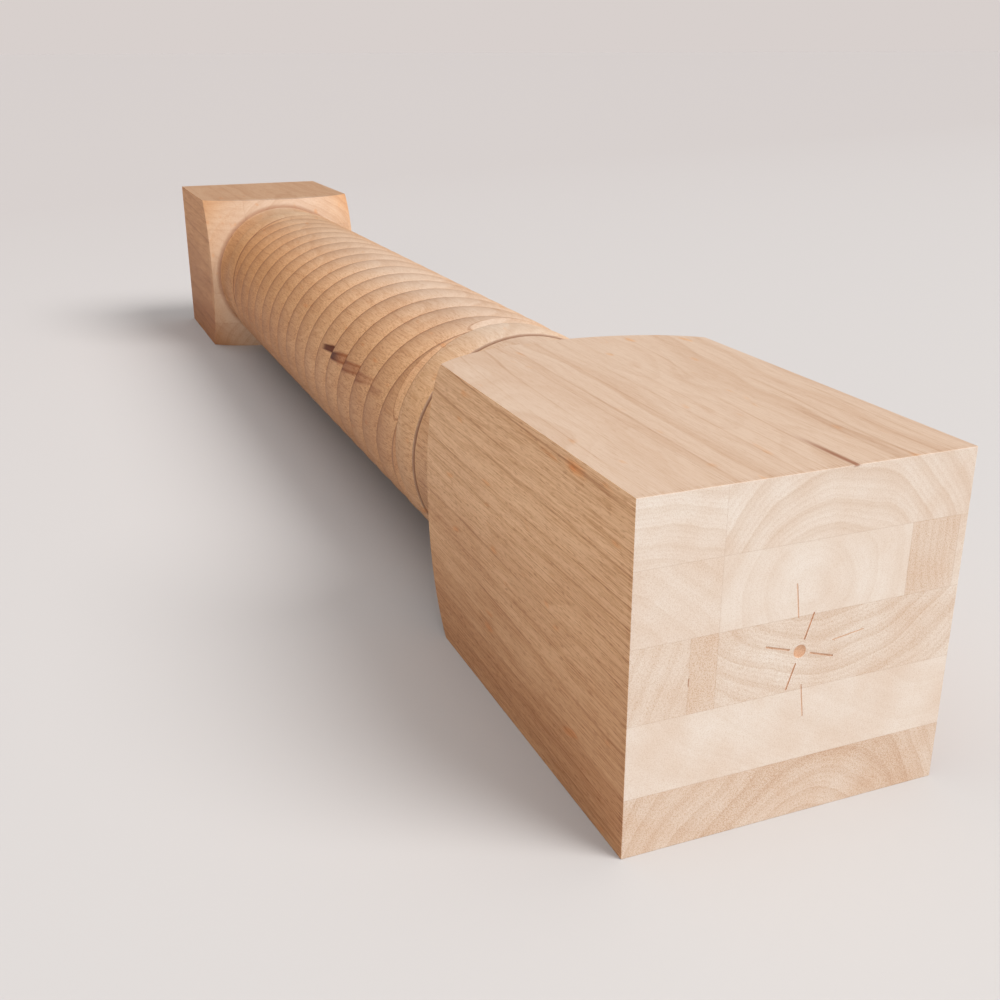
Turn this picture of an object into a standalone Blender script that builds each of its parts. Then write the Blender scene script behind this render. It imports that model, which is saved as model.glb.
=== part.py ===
"""Cabinet column: a rope-carved round shaft between two plain square blocks.

The column is one piece of wood. It lies along X on the lower flats of its
blocks, with the longer block towards +X and the floor at Z = 0. Metres.

Stations along the column are distances from the end of the longer block.
Stations of the turned rings are set out from the plane where a block's
corners end, the same way at both ends of the shaft.
"""

import math

import bmesh
import bpy

# The square blank
SIDE = 0.100
LENGTH = 0.7134
LONG_BLOCK = 0.1335
SHORT_BLOCK = 0.0947

# The domed shoulder that rounds each block down to the neck of the shaft
SHOULDER_DEPTH = 0.0188
SHOULDER_CURVE = 0.051

# The straight neck, and the thin ring groove where it ends
NECK_RADIUS = 0.0448
NECK_LENGTH = 0.0280
RING_WIDTH = 0.0014
RING_DEPTH = 0.0012

# The carved part: broad rounded strands that wind round the shaft
STRANDS = 6
LEAD = 0.1270
CREST_RADIUS = 0.0463
STRAND_DEPTH = 0.0012
STRAND_FULLNESS = 2.4
GROOVE_AT_TOP = 0.2178

# The collar, a plain ring rounded like a strand but a little lower
COLLAR_LENGTH = 0.0206
COLLAR_RADIUS = 0.0462
COLLAR_DEPTH = 0.0008
COLLAR_ROWS = 6

# The strands' ends are cut off slantwise, down to a fine line round the shaft
LINE_RADIUS = 0.0452
LINE_WIDTH = 0.0003
RUN_OUT = 0.0055

# How finely the turned and carved surface is divided
FACETS_PER_STRAND = 6
ROW_SPACING = 0.0038
SHOULDER_ROWS = 6

# The turning stands this far clear of the blank where the blank is left square
OUTSIDE = 0.004

WOOD_COLOR = (0.60, 0.40, 0.25, 1.0)
WOOD_ROUGHNESS = 0.55
SMOOTH_ANGLE = math.radians(25)


def clear_objects():
    """Remove whatever the file held before."""
    for old in list(bpy.data.objects):
        bpy.data.objects.remove(old, do_unlink=True)


def wood_material():
    """Pale close-grained hardwood, sanded and left bare."""
    material = bpy.data.materials.new("column_wood")
    material.use_nodes = True
    shader = material.node_tree.nodes["Principled BSDF"]
    shader.inputs["Base Color"].default_value = WOOD_COLOR
    shader.inputs["Roughness"].default_value = WOOD_ROUGHNESS
    shader.inputs["Metallic"].default_value = 0.0
    return material


def shoulder_arc():
    """The dome's section, from outside the blank's corner down to the neck.

    Points are (distance from the corner plane, radius). The arc has the radius
    SHOULDER_CURVE and passes through the corner and the foot of the shoulder.
    """
    corner = (0.0, SIDE / math.sqrt(2))
    foot = (SHOULDER_DEPTH, NECK_RADIUS)
    chord_along = foot[0] - corner[0]
    chord_in = corner[1] - foot[1]
    chord = math.hypot(chord_along, chord_in)
    sagitta_arm = math.sqrt(SHOULDER_CURVE ** 2 - (chord / 2) ** 2)
    centre_along = (corner[0] + foot[0]) / 2 - sagitta_arm * chord_in / chord
    centre_radius = (corner[1] + foot[1]) / 2 - sagitta_arm * chord_along / chord
    corner_angle = math.atan2(corner[1] - centre_radius, corner[0] - centre_along)
    foot_angle = math.atan2(foot[1] - centre_radius, foot[0] - centre_along)
    overshoot = OUTSIDE / SHOULDER_CURVE
    points = []
    for row in range(SHOULDER_ROWS + 1):
        angle = corner_angle + (foot_angle - corner_angle) * row / SHOULDER_ROWS
        points.append((
            centre_along + SHOULDER_CURVE * math.cos(angle),
            centre_radius + SHOULDER_CURVE * math.sin(angle),
        ))
    beyond = corner_angle + overshoot
    outer = (
        centre_along + SHOULDER_CURVE * math.cos(beyond),
        centre_radius + SHOULDER_CURVE * math.sin(beyond),
    )
    return [outer] + points


def plain_section():
    """The shoulder, neck, ring groove and collar, as far as the carving.

    The last point is the fine line where the carving starts.
    """
    neck_end = SHOULDER_DEPTH + NECK_LENGTH
    collar_start = neck_end + RING_WIDTH
    section = shoulder_arc()
    section.append((neck_end, NECK_RADIUS))
    section.append((neck_end + RING_WIDTH / 2, NECK_RADIUS - RING_DEPTH))
    for row in range(COLLAR_ROWS + 1):
        along = row / COLLAR_ROWS
        radius = rounded(COLLAR_RADIUS, COLLAR_DEPTH, 2 * along - 1)
        section.append((collar_start + COLLAR_LENGTH * along, radius))
    section.append((collar_start + COLLAR_LENGTH + LINE_WIDTH, LINE_RADIUS))
    return section


def rounded(crest, depth, across):
    """Radius of a rounded band; across runs from -1 to 1 between its edges."""
    return crest - depth * abs(across) ** STRAND_FULLNESS


def turn_at(station):
    """How far the strands have turned, from the top, at a station along the column."""
    return 2 * math.pi * (station - GROOVE_AT_TOP) / LEAD


def ring_points(station, turn, radius_at):
    """One ring of the turned form. radius_at takes the place across a strand."""
    points = []
    for facet in range(STRANDS * FACETS_PER_STRAND):
        angle = turn + 2 * math.pi * facet / (STRANDS * FACETS_PER_STRAND)
        across = 2 * (facet % FACETS_PER_STRAND) / FACETS_PER_STRAND - 1
        radius = radius_at(across)
        points.append((
            LENGTH / 2 - station,
            -radius * math.sin(angle),
            SIDE / 2 + radius * math.cos(angle),
        ))
    return points


def turned_rings():
    """All rings of the turned and carved form, from the long block to the short."""
    section = plain_section()
    carve_in = section[-1][0]
    first = LONG_BLOCK + carve_in
    last = LENGTH - SHORT_BLOCK - carve_in
    outside = section[0][1]

    rings = [ring_points(-OUTSIDE, turn_at(first), lambda across: outside)]
    for along, radius in section[:-1]:
        rings.append(ring_points(LONG_BLOCK + along, turn_at(first), lambda across, r=radius: r))

    rows = max(2, round((last - first) / ROW_SPACING))
    stations = {first + RUN_OUT, last - RUN_OUT}
    stations.update(first + (last - first) * row / rows for row in range(rows + 1))
    for station in sorted(stations):
        inset = min(station - first, last - station)
        ceiling = LINE_RADIUS + (CREST_RADIUS - LINE_RADIUS) * min(1.0, inset / RUN_OUT)
        rings.append(ring_points(
            station,
            turn_at(station),
            lambda across, top=ceiling: min(rounded(CREST_RADIUS, STRAND_DEPTH, across), top),
        ))

    for along, radius in reversed(section[:-1]):
        station = LENGTH - SHORT_BLOCK - along
        rings.append(ring_points(station, turn_at(last), lambda across, r=radius: r))
    rings.append(ring_points(LENGTH + OUTSIDE, turn_at(last), lambda across: outside))
    return rings


def make_turning():
    """The form that the lathe and the carving leave, longer and wider than the blank."""
    shape = bmesh.new()
    loops = []
    for ring in turned_rings():
        loops.append([shape.verts.new(point) for point in ring])
    for near, far in zip(loops, loops[1:]):
        count = len(near)
        for index in range(count):
            after = (index + 1) % count
            shape.faces.new((near[index], near[after], far[index]))
            shape.faces.new((near[after], far[after], far[index]))
    shape.faces.new(reversed(loops[0]))
    shape.faces.new(loops[-1])
    bmesh.ops.recalc_face_normals(shape, faces=shape.faces)
    mesh = bpy.data.meshes.new("turning")
    shape.to_mesh(mesh)
    shape.free()
    turning = bpy.data.objects.new("turning", mesh)
    turning.hide_render = True
    turning.display_type = "WIRE"
    bpy.context.scene.collection.objects.link(turning)
    return turning


def make_column(turning):
    """The square blank, cut back to the turned form wherever that is smaller."""
    shape = bmesh.new()
    bmesh.ops.create_cube(shape, size=1.0)
    bmesh.ops.scale(shape, vec=(LENGTH, SIDE, SIDE), verts=shape.verts)
    bmesh.ops.translate(shape, vec=(0.0, 0.0, SIDE / 2), verts=shape.verts)
    blank = bpy.data.meshes.new("blank")
    shape.to_mesh(blank)
    shape.free()
    column = bpy.data.objects.new("column", blank)
    bpy.context.scene.collection.objects.link(column)
    cut = column.modifiers.new("turn_and_carve", "BOOLEAN")
    cut.operation = "INTERSECT"
    cut.solver = "EXACT"
    cut.object = turning
    worked = column.evaluated_get(bpy.context.evaluated_depsgraph_get())
    mesh = bpy.data.meshes.new_from_object(worked)
    mesh.name = "column"
    column.modifiers.remove(cut)
    column.data = mesh
    mesh.materials.clear()
    mesh.materials.append(wood_material())
    mesh.shade_smooth()
    mesh.set_sharp_from_angle(angle=SMOOTH_ANGLE)
    return column


def main():
    clear_objects()
    make_column(make_turning())


main()
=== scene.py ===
# %% [markdown]
# This lesson builds the finished look of a cabinet column: a square wooden post
# whose middle has been turned round on a lathe and carved with broad strands
# that wind round it like a rope. Two plain square blocks are left at the ends.
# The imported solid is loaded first, because it fixes where the column stands and
# how large it may be.

import math

import bmesh
import bpy
from mathutils import Matrix, Vector


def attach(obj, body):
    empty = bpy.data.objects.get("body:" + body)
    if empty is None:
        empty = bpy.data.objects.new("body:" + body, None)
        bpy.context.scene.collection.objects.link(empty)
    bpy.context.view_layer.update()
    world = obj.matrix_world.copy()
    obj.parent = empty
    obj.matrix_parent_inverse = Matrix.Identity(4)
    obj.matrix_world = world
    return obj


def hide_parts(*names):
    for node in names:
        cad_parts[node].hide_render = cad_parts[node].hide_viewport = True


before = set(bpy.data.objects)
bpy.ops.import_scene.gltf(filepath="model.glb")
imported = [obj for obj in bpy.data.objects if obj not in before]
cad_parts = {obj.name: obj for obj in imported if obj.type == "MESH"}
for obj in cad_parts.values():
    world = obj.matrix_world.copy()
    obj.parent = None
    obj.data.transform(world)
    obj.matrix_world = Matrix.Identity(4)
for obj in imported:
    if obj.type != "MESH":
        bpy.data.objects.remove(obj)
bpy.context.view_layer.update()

# %% [markdown]
# All sizes are in metres. The post lies along X on the lower flats of its
# blocks, with the longer block towards +X. Places along it are called stations
# and are measured from the end of the longer block. The turned parts at the two
# ends of the shaft are alike, so they share one set of sizes.

# %% Name the sizes of the column
SIDE = 0.100
LENGTH = 0.7134
LONG_BLOCK = 0.1335
SHORT_BLOCK = 0.0947
EASED_EDGE = 0.0002

SHOULDER_DEPTH = 0.0188
SHOULDER_CURVE = 0.051
NECK_RADIUS = 0.0448
NECK_LENGTH = 0.0280
RING_WIDTH = 0.0014
RING_DEPTH = 0.0012
COLLAR_LENGTH = 0.0206
COLLAR_RADIUS = 0.0462
COLLAR_DEPTH = 0.0008
LINE_WIDTH = 0.0003
LINE_RADIUS = 0.0452
RUN_OUT = 0.0055

STRANDS = 6
LEAD = 0.1270
CREST_RADIUS = 0.0463
STRAND_DEPTH = 0.0012
STRAND_FULLNESS = 2.4
GROOVE_AT_TOP = 0.2178
KERF_WIDTH = 0.0007
KERF_DEPTH = 0.0003

CARVE_IN = SHOULDER_DEPTH + NECK_LENGTH + RING_WIDTH + COLLAR_LENGTH + LINE_WIDTH
CARVING_START = LONG_BLOCK + CARVE_IN
CARVING_END = LENGTH - SHORT_BLOCK - CARVE_IN
print(f"the carving runs for {1000 * (CARVING_END - CARVING_START):.1f} mm")

# %% [markdown]
# Node graphs are easier to read as sums than as boxes and wires. This class
# holds one output of a node. Adding, multiplying or comparing two of them puts
# the matching Math node into the tree, so `1 - mask` is one line of the lesson.
# The same class serves the shape of the column and its wood.

# %% Write node sums as ordinary expressions
class Value:
    """One output of a node, which can be used in sums."""

    def __init__(self, tree, socket):
        self.tree = tree
        self.socket = socket

    def math(self, operation, *others):
        return node(self.tree, "ShaderNodeMath", {"operation": operation}, self, *others)

    def __add__(self, other):
        return self.math("ADD", other)

    def __radd__(self, other):
        return self.math("ADD", other)

    def __sub__(self, other):
        return self.math("SUBTRACT", other)

    def __rsub__(self, other):
        return node(self.tree, "ShaderNodeMath", {"operation": "SUBTRACT"}, other, self)

    def __mul__(self, other):
        return self.math("MULTIPLY", other)

    def __rmul__(self, other):
        return self.math("MULTIPLY", other)

    def __truediv__(self, other):
        return self.math("DIVIDE", other)

    def __rtruediv__(self, other):
        return node(self.tree, "ShaderNodeMath", {"operation": "DIVIDE"}, other, self)

    def __pow__(self, other):
        return self.math("POWER", other)

    def __neg__(self):
        return self.math("MULTIPLY", -1.0)

    def __abs__(self):
        return self.math("ABSOLUTE")

    def __lt__(self, other):
        return self.math("LESS_THAN", other)

    def __gt__(self, other):
        return self.math("GREATER_THAN", other)

    def __mod__(self, other):
        return self.math("FLOORED_MODULO", other)

    def low(self, other):
        return self.math("MINIMUM", other)

    def high(self, other):
        return self.math("MAXIMUM", other)

    def within(self, lowest, highest):
        return self.high(lowest).low(highest)


def node(tree, kind, settings=None, *inputs, output=0, **named):
    """Add a node with its settings, feed its sockets, and return one output.

    Inputs are given in order, or by socket name with spaces as underscores.
    """
    made = tree.nodes.new(kind)
    for name, setting in (settings or {}).items():
        setattr(made, name, setting)
    live = [socket for socket in made.inputs if socket.enabled]
    by_name = {socket.name.replace(" ", "_"): socket for socket in live}
    pairs = list(zip(live, inputs)) + [(by_name[name], value) for name, value in named.items()]
    for socket, value in pairs:
        if isinstance(value, Value):
            tree.links.new(value.socket, socket)
        elif value is not None:
            socket.default_value = value
    outputs = [socket for socket in made.outputs if socket.enabled]
    found = outputs[output] if isinstance(output, int) else made.outputs[output]
    return Value(tree, found)


def split(vector):
    """The three numbers of a vector."""
    return [node(vector.tree, "ShaderNodeSeparateXYZ", {}, vector, output=k) for k in range(3)]


def join(tree, x, y, z):
    """A vector of three numbers."""
    return node(tree, "ShaderNodeCombineXYZ", {}, x, y, z)


print("sums can now be written on node outputs")

# %% [markdown]
# The turned and carved middle follows rules: the shoulder is part of a circle,
# the collar is a rounded band, and each strand is a rounded band that climbs
# one turn in every LEAD of length. In wood it is turned on a lathe and then cut
# with a router that is geared to the lathe. Six strands could also be swept
# along a helix, but their slanting ends would each need a cut of their own. So
# a plain cylinder is given as many rows as the profile needs, and Geometry Nodes
# move each of its points to where the rules put it. The columns of points twist
# with the strands, so a groove stays sharp.

# %% Share the rows of the cylinder among the parts of the section
def dome_centre():
    """Centre of the shoulder's circle: distance from the corner plane, and radius."""
    corner = (0.0, SIDE / math.sqrt(2))
    foot = (SHOULDER_DEPTH, NECK_RADIUS)
    along, inward = foot[0] - corner[0], corner[1] - foot[1]
    chord = math.hypot(along, inward)
    arm = math.sqrt(SHOULDER_CURVE ** 2 - (chord / 2) ** 2)
    return (
        (corner[0] + foot[0]) / 2 - arm * inward / chord,
        (corner[1] + foot[1]) / 2 - arm * along / chord,
    )


BEYOND = 0.003
HALF_STRANDS = (CARVING_END - CARVING_START) / 2 - RUN_OUT
SECTION = [
    ("beyond the corners", BEYOND, 2),
    ("shoulder", SHOULDER_DEPTH, 26),
    ("neck", NECK_LENGTH, 3),
    ("ring groove, in", RING_WIDTH / 2, 2),
    ("ring groove, out", RING_WIDTH / 2, 2),
    ("collar", COLLAR_LENGTH, 18),
    ("fine line", LINE_WIDTH, 1),
    ("run-out", RUN_OUT, 18),
    ("strands", HALF_STRANDS, 110),
]
HALF_ROWS = 1 + sum(rows for part, length, rows in SECTION)
ROWS = 2 * HALF_ROWS
COLUMNS_PER_STRAND = 26
COLUMNS = STRANDS * COLUMNS_PER_STRAND
for part, length, rows in SECTION:
    print(f"{part}: {rows} rows over {1000 * length:.1f} mm")
print(f"{ROWS} rows of {COLUMNS} points")


# %% Build the tree that turns and carves the post
def new_input(tree, name, kind="NodeSocketFloat", value=None):
    """A named input of a tree, and the number that it starts with."""
    socket = tree.interface.new_socket(name=name, in_out="INPUT", socket_type=kind)
    if value is not None:
        socket.default_value = value
    return socket


CARVING_SIZES = {
    "Length": LENGTH,
    "Side": SIDE,
    "Long block": LONG_BLOCK,
    "Short block": SHORT_BLOCK,
    "Dome centre along": dome_centre()[0],
    "Dome centre radius": dome_centre()[1],
    "Dome curve": SHOULDER_CURVE,
    "Neck radius": NECK_RADIUS,
    "Ring depth": RING_DEPTH,
    "Collar radius": COLLAR_RADIUS,
    "Collar depth": COLLAR_DEPTH,
    "Line radius": LINE_RADIUS,
    "Run-out": RUN_OUT,
    "Crest radius": CREST_RADIUS,
    "Strand depth": STRAND_DEPTH,
    "Strand fullness": STRAND_FULLNESS,
    "Lead": LEAD,
    "Groove at top": GROOVE_AT_TOP,
    "Kerf width": KERF_WIDTH,
    "Kerf depth": KERF_DEPTH,
}


def turned_form(tree, size):
    """The cylinder's points, moved to the turned and carved form."""
    cylinder = node(
        tree, "GeometryNodeMeshCylinder", {"fill_type": "NGON"},
        Vertices=COLUMNS, Side_Segments=ROWS, Fill_Segments=1, Radius=1.0, Depth=1.0,
        output="Mesh",
    )
    x, y, z = split(node(tree, "GeometryNodeInputPosition"))
    row = ((0.5 - z) * ROWS).math("ROUND")
    column = (y.math("ARCTAN2", x) * (COLUMNS / (2 * math.pi))).math("ROUND") % COLUMNS

    # How far a row is from the plane where the nearer block's corners end
    row_in = row.low(ROWS - row)
    inset = -BEYOND
    used = 1
    for part, length, rows in SECTION:
        inset = inset + ((row_in - used) / rows).within(0.0, 1.0) * length
        used += rows
    end_row = row_in < 0.5
    near_long = row < HALF_ROWS + 0.5
    station = (
        near_long * (size["Long block"] + inset)
        + (1.0 - near_long) * (size["Length"] - size["Short block"] - inset)
    )
    outside = (near_long * 2.0 - 1.0) * (
        near_long * size["Long block"] + (1.0 - near_long) * size["Short block"]
    )
    station = station - end_row * outside - end_row * (near_long * 2.0 - 1.0) * BEYOND

    # Where a point lies across its strand, from one groove at -1 to the next at 1
    place = column % COLUMNS_PER_STRAND
    strand = (column - place) / COLUMNS_PER_STRAND
    pitch = 2 * math.pi / STRANDS
    kerf = size["Kerf width"] / (size["Crest radius"] * pitch)
    spread = (place - 1.0) / (COLUMNS_PER_STRAND - 2)
    across = (kerf - 1.0) + spread * (2.0 - 2.0 * kerf)
    at_groove = place < 0.5
    across = at_groove * -1.0 + (1.0 - at_groove) * across
    carving_start = size["Long block"] + CARVE_IN
    carving_end = size["Length"] - size["Short block"] - CARVE_IN
    turn = (station.within(carving_start, carving_end) - size["Groove at top"]) / size["Lead"]
    angle = (strand + (across + 1.0) / 2.0) * pitch + turn * (2 * math.pi)

    def rounded(crest, depth, place_across):
        return crest - depth * abs(place_across) ** size["Strand fullness"]

    # The radius of each part of the section, chosen by the row's inset
    on_dome = size["Dome curve"] ** 2.0 - (inset - size["Dome centre along"]) ** 2.0
    dome = size["Dome centre radius"] + on_dome.high(0.0) ** 0.5
    neck_end = SHOULDER_DEPTH + NECK_LENGTH
    collar_start = neck_end + RING_WIDTH
    collar_end = collar_start + COLLAR_LENGTH
    collar_edge = size["Collar radius"] - size["Collar depth"]
    ring_floor = size["Neck radius"] - size["Ring depth"]
    into = ((inset - neck_end) / (RING_WIDTH / 2)).within(0.0, 1.0)
    out_of = ((inset - neck_end) / (RING_WIDTH / 2) - 1.0).within(0.0, 1.0)
    ring = size["Neck radius"] - into * size["Ring depth"] + out_of * (collar_edge - ring_floor)
    over_collar = (inset - collar_start) / COLLAR_LENGTH * 2.0 - 1.0
    collar = rounded(size["Collar radius"], size["Collar depth"], over_collar)
    slant = ((inset - CARVE_IN) / size["Run-out"]).within(0.0, 1.0)
    ceiling = size["Line radius"] + slant * (size["Crest radius"] - size["Line radius"])
    carved = rounded(size["Crest radius"], size["Strand depth"], across)
    carved = (carved - at_groove * size["Kerf depth"]).low(ceiling)

    def from_here(start, before, after):
        passed = inset > start
        return before + passed * (after - before)

    tiny = 1e-6
    radius = from_here(SHOULDER_DEPTH + tiny, dome, size["Neck radius"])
    radius = from_here(neck_end + tiny, radius, ring)
    radius = from_here(collar_start + tiny, radius, collar)
    radius = from_here(collar_end + tiny, radius, size["Line radius"])
    radius = from_here(CARVE_IN + tiny, radius, carved)

    placed = join(
        tree,
        size["Length"] / 2.0 - station,
        -(radius * angle.math("SINE")),
        size["Side"] / 2.0 + radius * angle.math("COSINE"),
    )
    return node(tree, "GeometryNodeSetPosition", {}, Geometry=cylinder, Position=placed)


print(f"{len(CARVING_SIZES)} named sizes shape the turned form")

# %% [markdown]
# The near end keeps the marks of two driving centres of a lathe. The prongs of
# the wider one barely bit, and one of them left no mark. Those of the smaller
# one went in deeper, round the small pit of its point. The far end has the small
# pit of the lathe's other point. Painted marks would stay flat where light falls
# across them, so they are cut into the mesh. The prongs of one cross are alike,
# so one slot is repeated round the centre.

# %% Strike the marks of the lathe's centres
MARK_HEIGHT = 0.0505
DEEP_CROSS = {"reach": (0.0034, 0.0112), "width": 0.00048, "depth": 0.0002, "turn": -17.5}
FAINT_CROSS = {
    "reach": (0.0101, 0.0200), "width": 0.00038, "depth": 0.0001, "turn": 8.0, "missing": 2,
}
NEAR_PIT = {"side": 1, "width": 0.0040, "depth": 0.0009}
FAR_PIT = {"side": -1, "width": 0.0036, "depth": 0.0010}


def cross(tree, size, reach, width, depth, turn, missing=-1):
    """Four slots round the centre of the near end, or three if one is missing."""
    middle = (reach[0] + reach[1]) / 2
    prongs = node(
        tree, "GeometryNodeMeshCircle", {}, Vertices=4, Radius=middle, output="Mesh",
    )
    slot = node(
        tree, "GeometryNodeMeshCube", {}, Size=(reach[1] - reach[0], width, 2 * depth),
        output="Mesh",
    )
    index = node(tree, "GeometryNodeInputIndex")
    placed = node(
        tree, "GeometryNodeInstanceOnPoints", {}, Points=prongs, Instance=slot,
        Selection=abs(index - float(missing)) > 0.5,
        Rotation=join(tree, 0.0, 0.0, index * (math.pi / 2)),
    )
    slots = node(tree, "GeometryNodeRealizeInstances", {}, placed)
    turned = node(
        tree, "GeometryNodeTransform", {}, Geometry=slots,
        Rotation=(0.0, 0.0, math.radians(turn)),
    )
    return node(
        tree, "GeometryNodeTransform", {}, Geometry=turned,
        Rotation=(math.pi / 2, 0.0, math.pi / 2),
        Translation=join(tree, size["Length"] / 2.0, 0.0, MARK_HEIGHT),
    )


def pit(tree, size, side, width, depth):
    """A small cone-shaped pit in one end: side is 1 at the near end, -1 at the far one."""
    cone = node(
        tree, "GeometryNodeMeshCone", {}, Vertices=24, Radius_Top=0.0, Radius_Bottom=width,
        Depth=2 * depth, output="Mesh",
    )
    return node(
        tree, "GeometryNodeTransform", {}, Geometry=cone,
        Rotation=(0.0, -side * math.pi / 2, 0.0),
        Translation=join(tree, size["Length"] / 2.0 * side + side * depth, 0.0, MARK_HEIGHT),
    )


def lathe_marks(tree, size):
    """All the cutters for the marks on the two ends."""
    return [
        cross(tree, size, **DEEP_CROSS),
        cross(tree, size, **FAINT_CROSS),
        pit(tree, size, **NEAR_PIT),
        pit(tree, size, **FAR_PIT),
    ]


print("two crosses and two pits are ready to be struck")

# %% Put the turning, the carving and the marks together
def carving_tree():
    """Cut the blank back to the turned form, strike the lathe's marks, set the wood."""
    tree = bpy.data.node_groups.new("turn and carve the post", "GeometryNodeTree")
    new_input(tree, "Blank", "NodeSocketGeometry")
    for name, value in CARVING_SIZES.items():
        new_input(tree, name, value=value)
    new_input(tree, "Wood", "NodeSocketMaterial")
    tree.interface.new_socket(name="Column", in_out="OUTPUT", socket_type="NodeSocketGeometry")
    given = tree.nodes.new("NodeGroupInput")
    size = {name: Value(tree, given.outputs[name]) for name in CARVING_SIZES}

    turned = turned_form(tree, size)
    cut = tree.nodes.new("GeometryNodeMeshBoolean")
    cut.operation = "INTERSECT"
    cut.solver = "EXACT"
    tree.links.new(given.outputs["Blank"], cut.inputs["Mesh 2"])
    tree.links.new(turned.socket, cut.inputs["Mesh 2"])
    struck = tree.nodes.new("GeometryNodeMeshBoolean")
    struck.operation = "DIFFERENCE"
    struck.solver = "EXACT"
    tree.links.new(cut.outputs["Mesh"], struck.inputs["Mesh 1"])
    for mark in lathe_marks(tree, size):
        tree.links.new(mark.socket, struck.inputs["Mesh 2"])
    plain = node(tree, "GeometryNodeRealizeInstances", {}, Value(tree, struck.outputs["Mesh"]))
    wooden = node(
        tree, "GeometryNodeSetMaterial", {},
        Geometry=plain, Material=Value(tree, given.outputs["Wood"]),
    )
    result = tree.nodes.new("NodeGroupOutput")
    tree.links.new(wooden.socket, result.inputs["Column"])
    return tree


carving = carving_tree()
print(f"the carving tree has {len(carving.nodes)} nodes")

# %% [markdown]
# Before it is turned, the column is a square post, planed straight, with fine
# paper run over its edges. A cube with sharp edges would do for the shape, but
# a real edge catches a thin line of light, so a narrow bevel goes round each
# edge. The tree then cuts this blank, and its result is made a plain mesh,
# which is the finished piece.

# %% Plane the square blank, with its edges barely eased
def squared_blank():
    """A square post as it leaves the plane, with fine paper run over its edges."""
    shape = bmesh.new()
    bmesh.ops.create_cube(shape, size=1.0)
    bmesh.ops.scale(shape, vec=(LENGTH, SIDE, SIDE), verts=shape.verts)
    bmesh.ops.translate(shape, vec=(0.0, 0.0, SIDE / 2), verts=shape.verts)
    bmesh.ops.bevel(
        shape, geom=shape.edges[:], offset=EASED_EDGE, segments=2, profile=0.6, affect="EDGES",
    )
    bmesh.ops.recalc_face_normals(shape, faces=shape.faces)
    mesh = bpy.data.meshes.new("squared blank")
    shape.to_mesh(mesh)
    shape.free()
    return mesh


print(f"the blank's edges are eased by {1000 * EASED_EDGE:.1f} mm")

# %% Make the column from the blank and the tree
SMOOTH_ANGLE = math.radians(12)
wood = bpy.data.materials.new("bare sanded hardwood")
wood.use_nodes = True

column = bpy.data.objects.new("carved_column", squared_blank())
bpy.context.scene.collection.objects.link(column)
carver = column.modifiers.new("turn and carve", "NODES")
carver.node_group = carving
for item in carving.interface.items_tree:
    if item.in_out == "INPUT" and item.name in CARVING_SIZES:
        carver[item.identifier] = CARVING_SIZES[item.name]
    if item.in_out == "INPUT" and item.name == "Wood":
        carver[item.identifier] = wood
worked = column.evaluated_get(bpy.context.evaluated_depsgraph_get())
mesh = bpy.data.meshes.new_from_object(worked)
column.modifiers.remove(carver)
column.data = mesh
mesh.name = "carved column"
mesh.shade_smooth()
mesh.set_sharp_from_angle(angle=SMOOTH_ANGLE)
print(f"the column has {len(mesh.vertices)} points and {len(mesh.polygons)} faces")
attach(column, "root")
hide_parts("column")

# %% [markdown]
# The wood is a pale, pinkish, close-grained hardwood, glued up from staves about
# 20 mm thick and left bare after sanding. A picture of planks could be laid on
# the surface, but it would smear in the grooves and break at the corners. So the
# wood is described as a solid: every point in the block has its stave, its growth
# ring and its fibres, whether it shows on a flat, on end grain or down in a
# groove. A streak that lies inside the wood then breaks into steps where the
# carving cuts it, as it does in real wood.

# %% Start the wood with its places and directions, in millimetres
tree = wood.node_tree
coat = tree.nodes["Principled BSDF"]
spot = node(tree, "ShaderNodeTexCoord", output="Object")
facing = split(node(tree, "ShaderNodeTexCoord", output="Normal"))
X, Y, Z = [part * 1000.0 for part in split(spot)]
END = 500 * LENGTH
LONG_CORNERS = END - 1000 * LONG_BLOCK
SHORT_CORNERS = 1000 * SHORT_BLOCK - END
END_GRAIN_DEPTH = 2.0
ROUND_FROM = 14.0
sawn_end = abs(X) > END - END_GRAIN_DEPTH
turned_down = (X < LONG_CORNERS - ROUND_FROM) * (X > SHORT_CORNERS + ROUND_FROM)
end_facing = abs(facing[0]).within(0.0, 1.0) * (0.4 + 0.6 * sawn_end) * (1.0 - turned_down)
side_facing = abs(facing[1]).within(0.0, 1.0)
print(f"the blocks' corners end at {LONG_CORNERS:.1f} and {SHORT_CORNERS:.1f} mm along X")


# %% Make the helpers that describe where a mark is and what it does to the colour
def noise(along, across, detail=2.0, rough=0.5, seed=0.0):
    """Noise from 0 to 1 in grains of this length and thickness, in millimetres."""
    stretched = join(tree, X / along + seed, Y / across, Z / across - seed)
    return node(
        tree, "ShaderNodeTexNoise", {}, Vector=stretched, Scale=1.0, Detail=detail,
        Roughness=rough,
    )


def ramp(value, lowest, highest):
    """0 below lowest, 1 above highest, and a smooth rise between."""
    return node(
        tree, "ShaderNodeMapRange", {"interpolation_type": "SMOOTHSTEP"},
        Value=value, From_Min=lowest, From_Max=highest,
    )


def near(distance, full, gone):
    """1 up to the distance full, on either side, and a smooth fall to 0 at gone."""
    return 1.0 - ramp(abs(distance), full, gone)


def between(value, lowest, highest, soft):
    """1 where a value lies between two others, with ends as wide as twice soft."""
    risen = ramp(value, lowest - soft, lowest + soft)
    return risen * (1.0 - ramp(value, highest - soft, highest + soft))


def tint(mask, under, over):
    """A colour laid over another where the mask is 1."""
    return node(
        tree, "ShaderNodeMix", {"data_type": "RGBA", "clamp_factor": True},
        Factor=mask, A=under, B=over,
    )


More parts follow.
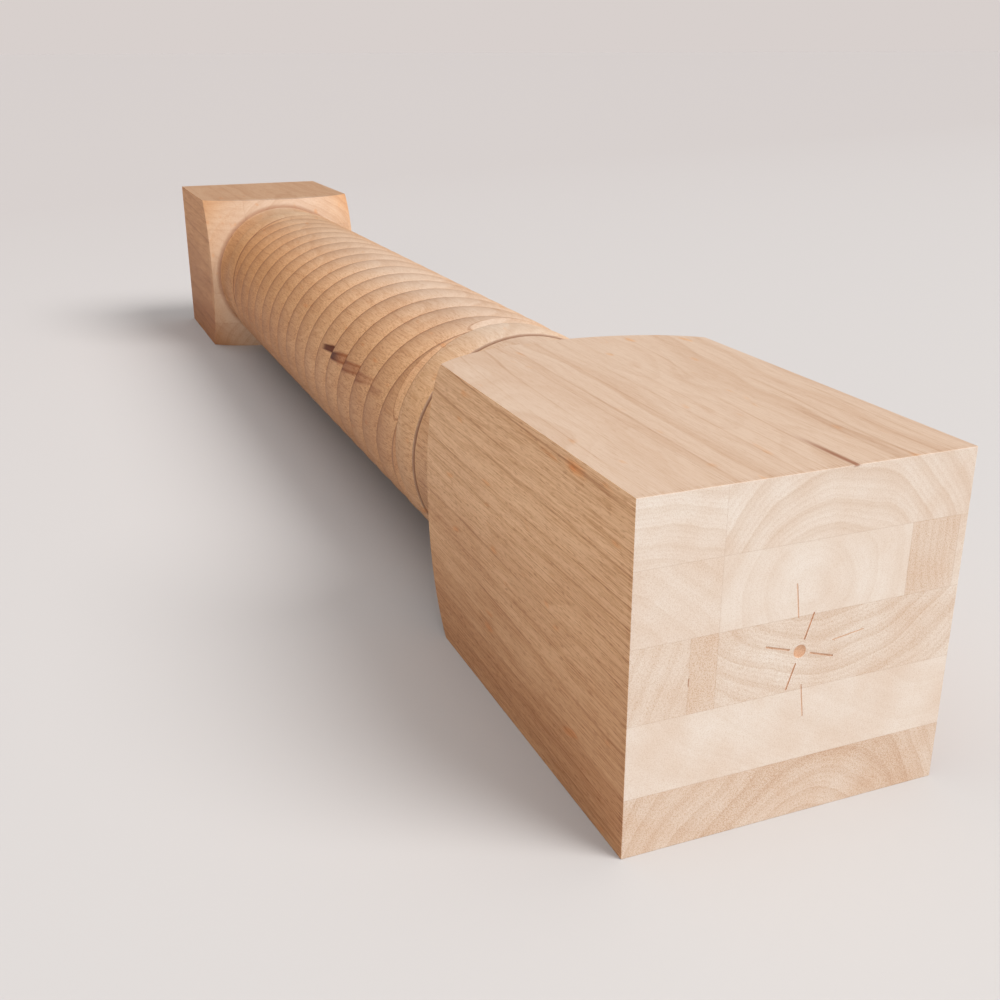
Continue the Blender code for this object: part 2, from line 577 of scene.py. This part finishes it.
def darken(color, mask, tone):
    """A colour multiplied by a tone where the mask is 1."""
    return node(
        tree, "ShaderNodeMix", {"data_type": "RGBA", "blend_type": "MULTIPLY"},
        Factor=mask, A=color, B=(*tone, 1.0),
    )


print("marks can now be placed by distance, by limits and by noise")

# %% Lay up the staves, as the near end shows them
# Each has its place across the block, its ring centre and ring width, and how
# deep its colour, how strong its rings and how open its pores are. The narrow
# strip beside the second right stave is in none of them and has its own values.
LOWEST_JOINT = 17.8
STAVES = [
    ("upper left", (-51, -25, 81.5, 101), (-40, -160, 4.2), (0.30, 0.8, 0.3)),
    ("upper right", (-25, 51, 81.5, 101), (8, 60, 6.5), (0.35, 1.1, 0.3)),
    ("second left", (-51, -25, 60.7, 81.5), (-75, 20, 6.0), (0.45, 0.5, 0.4)),
    ("second middle", (-25, 32, 60.7, 81.5), (2, 68, 7.5), (0.25, 0.5, 0.2)),
    ("second right", (32, 47.5, 60.7, 81.5), (140, 72, 2.2), (0.85, 0.8, 0.8)),
    ("third left", (-51, -33, 39.2, 60.7), (-150, 75, 5.0), (0.50, 0.8, 0.7)),
    ("third brick", (-33, -25, 39.2, 60.7), (-90, 10, 3.0), (1.00, 0.3, 1.0)),
    ("third right", (-25, 51, 39.2, 60.7), (10.5, 93, 5.2), (0.50, 1.2, 0.75)),
    ("fourth", (-51, 51, LOWEST_JOINT, 39.2), (60, 150, 9.0), (0.35, 0.35, 0.3)),
    ("lowest", (-51, 51, -1, LOWEST_JOINT), (6, -12, 6.0), (1.00, 1.1, 0.9)),
]
STRIP_RINGS = (60.0, 40.0, 5.0)
STRIP_NATURE = (0.5, 0.6, 0.4)
GLUE_LINE = 0.13


def choose(inside, otherwise, chosen):
    """Three numbers at once: those chosen inside a stave, and the others outside."""
    return node(
        tree, "ShaderNodeMix", {"data_type": "VECTOR"}, Factor=inside, A=otherwise, B=chosen,
    )


rings_of, nature = STRIP_RINGS, STRIP_NATURE
glue_lines = []
for name, (y0, y1, z0, z1), rings, kind in STAVES:
    across_band = (Y > y0) * (Y < y1)
    height_band = (Z > z0) * (Z < z1)
    inside = across_band * height_band
    rings_of = choose(inside, rings_of, rings)
    nature = choose(inside, nature, kind)
    if z1 < 1000 * SIDE:
        glue_lines.append(across_band * (abs(Z - z1) < GLUE_LINE))
    if y1 < 500 * SIDE:
        glue_lines.append(height_band * (abs(Y - y1) < GLUE_LINE))
glue = glue_lines[0]
for line in glue_lines[1:]:
    glue = glue.high(line)
ring_y, ring_z, ring_width = split(rings_of)
depth_of_tone, ring_strength, openness = split(nature)
print(f"{len(STAVES)} staves and {len(glue_lines)} glue lines make up the block")

# %% Grow the rings, fibres and pores
FINE_RING = 0.27
sway = noise(120.0, 60.0, seed=3.1) - 0.5
wobble = noise(40.0, 5.0, seed=7.7) - 0.5
away = ((Y - ring_y) ** 2.0 + (Z - ring_z) ** 2.0) ** 0.5 + sway * 26.0 + wobble * 0.8
ring = away / ring_width % 1.0
late = ramp(ring, 0.35, 0.93) * (1.0 - ramp(ring, 0.95, 1.0))
fine_ring = away / (ring_width * FINE_RING) % 1.0
fine_late = ramp(fine_ring, 0.3, 0.9) * (1.0 - ramp(fine_ring, 0.92, 1.0))
fibre = noise(14.0, 0.30, detail=3.0, rough=0.7, seed=1.3)
thread = noise(160.0, 1.9, rough=0.6, seed=5.9)
cloud = noise(70.0, 13.0, seed=9.4)
growth = (Z * 0.12 + Y * 0.10 + X * 0.003 + noise(480.0, 24.0, seed=15.2) * 3.6) % 1.0
hairline = near(growth - 0.5, 0.01, 0.045) * ramp(cloud, 0.30, 0.60)
growth_band = ramp(growth, 0.1, 0.48) * (growth < 0.5)
fleck = ramp(noise(3.6, 0.36, detail=1.0, seed=11.0), 0.56, 0.68)
amber = ramp(noise(16.0, 5.5, detail=1.5, seed=21.0), 0.66, 0.78)
print(f"the rings and fibres take {len(tree.nodes)} nodes so far")

# %% Colour the wood from pale to deep
PALE_FLAT = (0.590, 0.450, 0.345, 1.0)
DEEP_FLAT = (0.560, 0.400, 0.290, 1.0)
PALE_SHADED_SIDE = (0.885, 0.558, 0.315, 1.0)
DEEP_SHADED_SIDE = (0.590, 0.300, 0.138, 1.0)
PALE_END = (0.672, 0.614, 0.555, 1.0)
DEEP_END = (0.560, 0.415, 0.310, 1.0)
# Painted light and shade: the sides get a warmer, more saturated copy of the flats' tone,
# standing in for the sheen on the lit top and the shade on the sides. The sides also grow
# darker towards the bottom. The paler end grain is the wood's own.
lower = (0.5 - Z / (1000 * SIDE)) * side_facing
tone = (depth_of_tone * 0.5 + cloud * 0.9 + lower * 1.5 - 0.25).within(0.0, 1.0)
flat = tint(tone, PALE_FLAT, DEEP_FLAT)
side = tint(tone, PALE_SHADED_SIDE, DEEP_SHADED_SIDE)
end = tint(tone, PALE_END, DEEP_END)
color = tint(ramp(side_facing, 0.05, 0.95), flat, side)
color = tint(ramp(end_facing, 0.15, 0.97), color, end)
print("flats, sides and end grain each have a pale and a deep tone")

# %% Deepen the shorter block and the shaft
FAR_BLOCK_TONE = (0.76, 0.62, 0.49)
FAR_SHAFT_TONE = (0.84, 0.73, 0.60)
SHAFT_SIDE_SHADE = (0.89, 0.84, 0.80)
FAR_BLOCK_FROM, FAR_BLOCK_FULL = 24.0, 2.0
FAR_SHAFT_FROM, FAR_SHAFT_FULL = 60.0, -220.0
SHAFT_FROM, SHAFT_SOFT = 21.0, 5.0
far_block = ramp(-X, -SHORT_CORNERS - FAR_BLOCK_FROM, -SHORT_CORNERS - FAR_BLOCK_FULL)
shaft_part = between(X, SHORT_CORNERS + SHAFT_FROM, LONG_CORNERS - SHAFT_FROM, SHAFT_SOFT)
far_shaft = ramp(-X, -FAR_SHAFT_FROM, -FAR_SHAFT_FULL) * shaft_part
color = darken(color, far_block * (1.0 - 0.5 * sawn_end), FAR_BLOCK_TONE)
color = darken(color, far_shaft * (1.0 - far_block), FAR_SHAFT_TONE)
# Painted shade: the shaft's sides are darkened where they get less light.
color = darken(color, ramp(side_facing, 0.0, 0.75) * shaft_part, SHAFT_SIDE_SHADE)
print(f"the shaft's own tone starts {SHAFT_FROM:.0f} mm from the corners")

# %% Draw the rings, fibres and pores in their tones
LATE_WOOD = (0.86, 0.77, 0.69)
FINE_LATE_WOOD = (0.84, 0.76, 0.69)
FIBRE_TONE = (0.77, 0.66, 0.55)
PORE_TONE = (0.80, 0.68, 0.57)
LOW_BAND_TONE = (0.90, 0.80, 0.71)
THREAD_TONE = (0.84, 0.74, 0.64)
ring_show = ring_strength * (0.42 - 0.04 * end_facing)
color = darken(color, late * ring_show, LATE_WOOD)
color = darken(color, fine_late * ring_show * 0.5, FINE_LATE_WOOD)
along = 1.0 - end_facing
steep = 0.36 + 0.64 * side_facing
fibre_show = along * steep * (0.95 + 0.2 * turned_down)
color = darken(color, ramp(fibre, 0.44, 0.64) * fibre_show, FIBRE_TONE)
low_band = (Z < LOWEST_JOINT) * between(away, 27.0, 36.0, 4.0)
pores = ramp(fibre, 0.47, 0.62) * sawn_end
color = darken(color, pores * (0.25 + 0.75 * openness + low_band), PORE_TONE)
color = darken(color, low_band * sawn_end * 0.3, LOW_BAND_TONE)
color = darken(color, ramp(thread, 0.48, 0.72) * along * steep * 0.4, THREAD_TONE)
print(f"the lowest stave, with its open pores, is {LOWEST_JOINT:.1f} mm thick")

# %% Add the growth lines, the flecks, the amber and the glue
GROWTH_TONE = (0.86, 0.77, 0.67)
HAIRLINE_TONE = (0.72, 0.58, 0.46)
FLECK_TONE = (0.68, 0.53, 0.42)
AMBER_TONE = (1.03, 0.80, 0.58)
GLUE_TONE = (0.66, 0.52, 0.42)
off_shaft = along * (1.0 - turned_down)
color = darken(color, growth_band * off_shaft * steep * 0.4, GROWTH_TONE)
color = darken(color, hairline * off_shaft * (0.42 + 0.42 * side_facing), HAIRLINE_TONE)
fleck_show = (0.45 + 0.3 * openness + 0.2 * turned_down) * steep
color = darken(color, fleck * fleck_show, FLECK_TONE)
color = darken(color, amber * (1.0 - end_facing) * 0.8, AMBER_TONE)
color = darken(color, glue * (0.22 + 0.15 * along), GLUE_TONE)
print(f"with its grain the wood has {len(tree.nodes)} nodes")

# %% [markdown]
# Two dark mineral streaks show. One is short, on the top of the longer block
# near its end. The other lies in a thin slanting sheet just under the surface
# of the shaft, so each strand cuts it at a different height. A small patch is
# amber near the top of the block's side, and one joint on its end is open for
# two millimetres. They could be painted on by hand, but described by their
# distances in the solid they stay where they are when the shape changes.

# %% Lay the short streak, the amber patch and the open joint
SHORT_STREAK_Y, SHORT_STREAK_LENGTH = 11.7, 31.0
PATCH_STATION, PATCH_HEIGHT = 32.0, 97.0
JOINT_Y, JOINT_FROM, JOINT_TO = -33.0, 47.3, 49.6
SHORT_STREAK_TONE = (0.52, 0.33, 0.25)
PATCH_TONE = (1.04, 0.78, 0.50)
JOINT_TONE = (0.66, 0.48, 0.38)
station = END - X
top_streak = (
    near(Y - SHORT_STREAK_Y + station * 0.02 + wobble * 1.2, 0.25, 1.5)
    * ramp(X, END - SHORT_STREAK_LENGTH, END - 8.0) * ramp(Z, 99.2, 99.9)
)
color = darken(color, top_streak, SHORT_STREAK_TONE)
amber_patch = (
    near(station - PATCH_STATION, 1.0, 8.0) * near(Z - PATCH_HEIGHT, 0.4, 2.6)
    * ramp(-Y, 47.0, 49.5)
)
color = darken(color, amber_patch * 0.85, PATCH_TONE)
open_joint = between(Z, JOINT_FROM, JOINT_TO, 0.3) * near(Y - JOINT_Y, 0.05, 0.30) * sawn_end
color = darken(color, open_joint, JOINT_TONE)
print(f"the short streak ends {SHORT_STREAK_LENGTH:.0f} mm from the end of the block")

# %% Lay the long streak in the shaft
STREAK_FROM, STREAK_TO, STREAK_AROUND = 226.0, 318.0, 71.5
STREAK_TONE = (0.50, 0.25, 0.13)
STREAK_HEART = (0.26, 0.12, 0.06)
MIDDLE = 500 * SIDE
around = (-Y).math("ARCTAN2", Z - MIDDLE) * (180 / math.pi)
radius = (Y ** 2.0 + (Z - MIDDLE) ** 2.0) ** 0.5
climbed = (station / 1000 - GROOVE_AT_TOP) / (LEAD / STRANDS)
across_strand = (around / (360 / STRANDS) - climbed) % 1.0
height = (around - STREAK_AROUND) * 0.8 - (0.5 - across_strand) * 2.8 + wobble * 1.2
swell = 1.0 + 0.9 * ramp(station, 316.0, 285.0) * ramp(station, 238.0, 262.0)
height = abs(height) / swell
streak = (
    near(height, 0.8, 1.9) * between(station, STREAK_FROM, STREAK_TO, 4.0)
    * between(radius, 40.0, 48.0, 0.5)
)
heart = ramp(station, 215.0, 290.0)
rim = ramp(height, 0.35, 0.95)
color = darken(color, streak * (0.35 + 0.65 * heart) * (0.6 + 0.4 * rim), STREAK_TONE)
color = darken(color, streak * ramp(station, 287.0, 302.0) * 0.95, STREAK_HEART)
print(f"the long streak runs from {STREAK_FROM:.0f} to {STREAK_TO:.0f} mm from the end")

# %% [markdown]
# Each groove gets a dark line of painted shade at its bottom, and each strand
# painted shade that deepens from one groove to the next. The thin turned lines
# at the ends of the carving get painted shade too. Blender could find such
# hollows by their shade, but that depends on how fine the mesh is. Here the same
# rule that places the grooves in the shape also places this shade in the colour.

# %% Paint shade into the grooves and across the strands
STRAND_SHADE_TONE = (0.80, 0.66, 0.55)
GROOVE_SHADE_TONE = (0.46, 0.30, 0.21)
FOOT_SHADE_TONE = (0.62, 0.45, 0.34)
to_carving = (station - 1000 * CARVING_START).low(1000 * CARVING_END - station)
in_carving = ramp(to_carving, 0.0, 0.4)
to_groove = (0.5 - abs(across_strand - 0.5)) * (LEAD * 1000 / STRANDS)
# Painted shade: a dark line at the bottom of each groove, fainter down the sides.
groove = near(to_groove, 0.10, 0.46) * in_carving * (1.0 - 0.45 * ramp(around, 62.0, 100.0))
# Painted shade: each strand darkens from one groove towards the next.
strand_shade = (1.0 - across_strand) ** 2.0 * in_carving
color = darken(color, strand_shade * 0.85, STRAND_SHADE_TONE)
color = darken(color, groove * 0.95, GROOVE_SHADE_TONE)
# Painted shade: a dark ring where the neck meets the shoulder.
at_foot = near(to_carving + 1000 * (CARVE_IN - SHOULDER_DEPTH), 0.2, 1.1)
color = darken(color, at_foot * 0.8, FOOT_SHADE_TONE)
print(f"along the shaft there is a groove every {1000 * LEAD / STRANDS:.1f} mm")

# %% Paint light on the cut-off ends of the strands, and darken their edges
FACET_LIGHT_TONE = (1.12, 1.19, 1.26)
FACET_EDGE = (0.62, 0.46, 0.36)
fall = 1000 * STRAND_DEPTH * abs(2.0 * across_strand - 1.0) ** STRAND_FULLNESS
slant = 1000 * LINE_RADIUS + to_carving * ((CREST_RADIUS - LINE_RADIUS) / RUN_OUT)
cut_away = 1000 * CREST_RADIUS - fall - slant
# Painted light: the cut-off ends, which tilt towards the light, are lightened.
color = darken(color, ramp(cut_away, 0.0, 0.06) * in_carving * 0.6, FACET_LIGHT_TONE)
color = darken(color, near(cut_away, 0.02, 0.09) * in_carving * 0.6, FACET_EDGE)
print(f"the strands' ends are cut off over {1000 * RUN_OUT:.1f} mm")

# %% Paint shade into the turned lines, and paint light on the collar
LINE_SHADE_TONE = (0.40, 0.26, 0.18)
COLLAR_LIGHT_TONE = (1.09, 1.15, 1.19)
RING_SHADE_TONE = (0.42, 0.27, 0.18)
on_turning = ramp(47.0 - radius, 0.0, 0.5)
# Painted shade in the fine line where the collar meets the carving.
color = darken(color, near(to_carving + 0.1, 0.18, 0.52) * on_turning * 0.95, LINE_SHADE_TONE)
# Painted light: the collar, which tilts towards the light, is made paler.
color = darken(color, between(to_carving, -21.0, -0.4, 0.3) * 0.8, COLLAR_LIGHT_TONE)
from_ring = to_carving + 1000 * (COLLAR_LENGTH + LINE_WIDTH + RING_WIDTH / 2)
# Painted shade in the ring groove between the neck and the collar.
color = darken(color, near(from_ring, 0.3, 1.0) * on_turning * 0.95, RING_SHADE_TONE)
print(f"the collar is {1000 * COLLAR_LENGTH:.1f} mm long")

# %% Darken the bottoms of the lathe's marks
MARK_TONE = (0.90, 0.60, 0.41)
from_centre = (Y ** 2.0 + (Z - 1000 * MARK_HEIGHT) ** 2.0) ** 0.5
sunk = between(station, 0.045, 4.0, 0.03) * near(from_centre, 21.0, 22.0)
in_pit = near(from_centre, 2.4, 3.0)
color = darken(color, sunk * (0.65 + 0.2 * in_pit), MARK_TONE)
print(f"the lathe's marks are centred {1000 * MARK_HEIGHT:.1f} mm above the floor")

# %% Join the colour, the sheen and the relief of the grain
PLAIN_ROUGHNESS = 0.50
SHEEN = 0.42
GRAIN_HEIGHT, GRAIN_STRENGTH = 0.00022, 0.22
rough = PLAIN_ROUGHNESS + 0.16 * fibre + 0.10 * end_facing
bump = node(
    tree, "ShaderNodeBump", {}, Strength=GRAIN_STRENGTH, Distance=GRAIN_HEIGHT, Height=fibre,
    output="Normal",
)
tree.links.new(color.socket, coat.inputs["Base Color"])
tree.links.new(rough.socket, coat.inputs["Roughness"])
tree.links.new(bump.socket, coat.inputs["Normal"])
coat.inputs["Specular IOR Level"].default_value = SHEEN
print(f"the wood has {len(tree.nodes)} nodes")

# %% [markdown]
# The column lies on a wide pale floor in wide soft light. A curved backdrop would
# do as well, but its edge would show from behind. So the floor is flat and
# reaches far out, and the sky behind it is shown in nearly the floor's own tone.
# The sky's light still comes from all round, and most of it from above.

# %% Lay the pale floor
FLOOR_REACH = 60.0
PAPER_LESS_LIT = (0.485, 0.456, 0.447, 1.0)
PAPER_MORE_LIT = (0.556, 0.550, 0.543, 1.0)
floor_mesh = bpy.data.meshes.new("floor")
floor_mesh.from_pydata(
    [(a * FLOOR_REACH, b * FLOOR_REACH, 0.0) for a, b in ((-1, -1), (1, -1), (1, 1), (-1, 1))],
    [], [(0, 1, 2, 3)],
)
floor = bpy.data.objects.new("floor", floor_mesh)
bpy.context.scene.collection.objects.link(floor)
paper = bpy.data.materials.new("pale paper")
paper.use_nodes = True
sheet = paper.node_tree.nodes["Principled BSDF"]
on_floor = split(node(paper.node_tree, "ShaderNodeTexCoord", output="Object"))
# Painted light: the paper darkens towards the far left, standing in for the light falling off.
painted_light_falloff = (0.42 + 0.35 * on_floor[0] + 0.14 * on_floor[1]).within(0.0, 1.0)
paper_tone_with_falloff = node(
    paper.node_tree, "ShaderNodeMix", {"data_type": "RGBA"},
    Factor=painted_light_falloff, A=PAPER_LESS_LIT, B=PAPER_MORE_LIT,
)
paper.node_tree.links.new(paper_tone_with_falloff.socket, sheet.inputs["Base Color"])
sheet.inputs["Roughness"].default_value = 0.85
sheet.inputs["Specular IOR Level"].default_value = 0.1
floor_mesh.materials.append(paper)
print(f"the floor reaches {FLOOR_REACH:.0f} m out on each side")


# %% Hang a wide soft light high on the right, and a weaker one low behind the camera
def wide_light(name, direction, strength, spread, warmth):
    """Even light from one side of the sky, soft because it is as wide as spread."""
    light = bpy.data.lights.new(name, "SUN")
    light.energy = strength
    light.angle = math.radians(spread)
    light.color = warmth
    lamp = bpy.data.objects.new(name, light)
    lamp.location = Vector(direction)
    lamp.rotation_euler = Vector(direction).to_track_quat("Z", "Y").to_euler()
    bpy.context.scene.collection.objects.link(lamp)
    print(f"the {name} is {spread} degrees wide")


wide_light(
    "window", direction=(3.6, 3.2, 4.8), strength=2.95, spread=34, warmth=(1.0, 0.985, 0.97),
)
wide_light(
    "reflector", direction=(3.9, -1.9, 0.8), strength=1.45, spread=40, warmth=(1.0, 0.99, 0.98),
)

# %% Light the studio, and show the floor's tone behind it
LIGHT_LOW = (0.045, 0.044, 0.044, 1.0)
LIGHT_OVERHEAD = (1.66, 1.63, 1.63, 1.0)
BEHIND_LEFT = (0.686, 0.630, 0.610, 1.0)
BEHIND_RIGHT = (0.830, 0.812, 0.796, 1.0)
studio = bpy.data.worlds.new("studio")
studio.use_nodes = True
sky = studio.node_tree
seen = node(sky, "ShaderNodeLightPath", output="Is Camera Ray")
toward = split(node(sky, "ShaderNodeTexCoord", output="Generated"))
light_above = node(
    sky, "ShaderNodeMix", {"data_type": "RGBA"},
    Factor=toward[2].within(0.0, 1.0) ** 3.0, A=LIGHT_LOW, B=LIGHT_OVERHEAD,
)
# The floor's tone shown behind it carries the same painted falloff, darker towards the left.
floor_behind = node(
    sky, "ShaderNodeMix", {"data_type": "RGBA"},
    Factor=(0.5 + 1.75 * toward[0] + 0.6 * toward[1]).within(0.0, 1.0),
    A=BEHIND_LEFT, B=BEHIND_RIGHT,
)
lit = node(sky, "ShaderNodeBackground", {}, Color=light_above, Strength=1.0)
shown = node(sky, "ShaderNodeBackground", {}, Color=floor_behind, Strength=1.0)
both = node(sky, "ShaderNodeMixShader", {}, seen, lit, shown)
sky.links.new(both.socket, sky.nodes["World Output"].inputs["Surface"])
bpy.context.scene.world = studio
bpy.context.scene.view_settings.view_transform = "Standard"
print(f"the studio's sky has {len(sky.nodes)} nodes")

# %% [markdown]
# The picture is taken from close by, a little above the longer block and to the
# left of it, so the near end looks large and the shaft runs away from it. The
# three directions of the camera and its place were worked out from the corners
# of the two blocks. Turning it by hand until it looks right would take far longer.

# %% Place the camera at the photograph's viewing angle
FOCAL_LENGTH = 42.576
RIGHT = Vector((0.37827912, 0.92569029, -0.00154921))
UP = Vector((-0.32949506, 0.13621024, 0.93428035))
BACK = Vector((0.86506527, -0.35290829, 0.35653586))
PLACE = Vector((LENGTH / 2 + 0.222258, -0.174299, 0.196174))
lens = bpy.data.cameras.new("camera")
lens.lens = FOCAL_LENGTH
camera = bpy.data.objects.new("camera", lens)
camera.matrix_world = Matrix((
    (RIGHT.x, UP.x, BACK.x, PLACE.x),
    (RIGHT.y, UP.y, BACK.y, PLACE.y),
    (RIGHT.z, UP.z, BACK.z, PLACE.z),
    (0, 0, 0, 1),
))
bpy.context.scene.collection.objects.link(camera)
bpy.context.scene.camera = camera
print(f"the camera stands {1000 * PLACE.z:.0f} mm above the floor")
